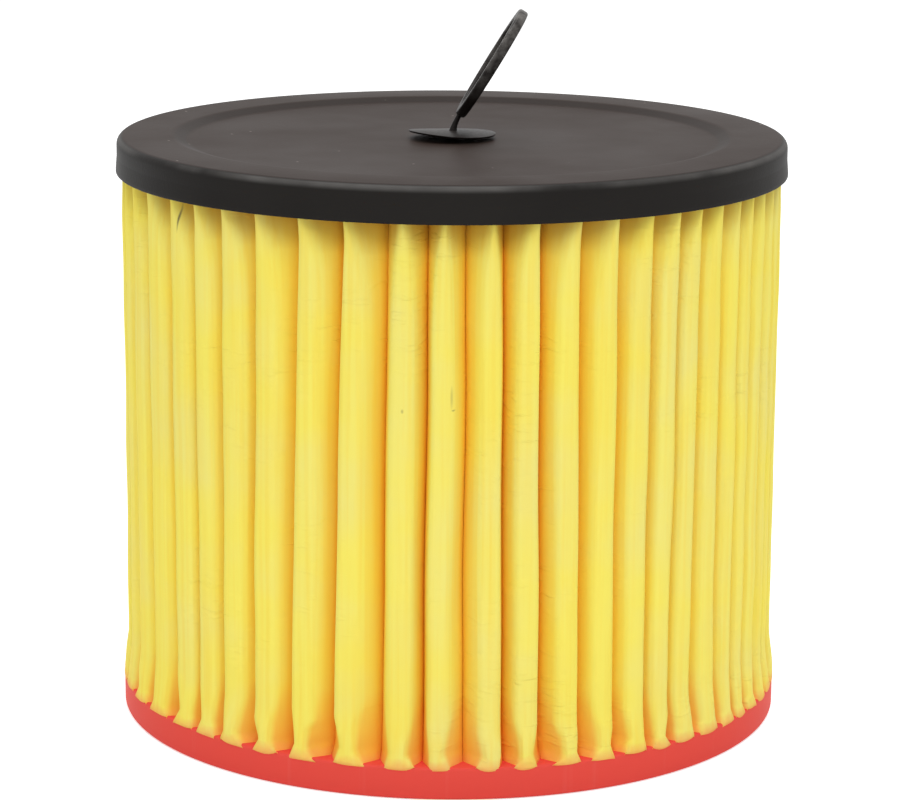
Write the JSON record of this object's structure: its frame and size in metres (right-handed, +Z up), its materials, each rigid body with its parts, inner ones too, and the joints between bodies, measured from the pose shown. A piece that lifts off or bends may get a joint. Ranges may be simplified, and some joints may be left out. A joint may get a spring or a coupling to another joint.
{
  "type": "vacuum filter cartridge",
  "caption": "Round pleated filter cartridge with a closed black cap and pull ring on top and an open soft red ring at the foot that seals on a vacuum cleaner's motor head.",
  "frame": {"origin": "centre of the base ring's flat underside, on the filter's axis", "axes": "+Z up the filter's axis towards the closed cap; the pull ring leans towards +X; the side in the picture faces -Y"},
  "size_m": [0.1806, 0.1806, 0.1903],
  "materials": {
    "red_compound": "smooth cast soft compound, satin",
    "filter_paper": "resin-treated filter paper, creased, matt",
    "core_plastic": "moulded, matt",
    "glue": "set casting resin, smooth",
    "cap_plastic": "moulded, fine matt texture",
    "ring_plastic": "moulded soft plastic, satin"
  },
  "bodies": {
    "root": {"base_ring": "red_compound", "pleated_media": "filter_paper", "support_core": "core_plastic", "cap_glue": "glue", "top_cap": "cap_plastic", "pull_ring": "ring_plastic"}
  },
  "joints": []
}
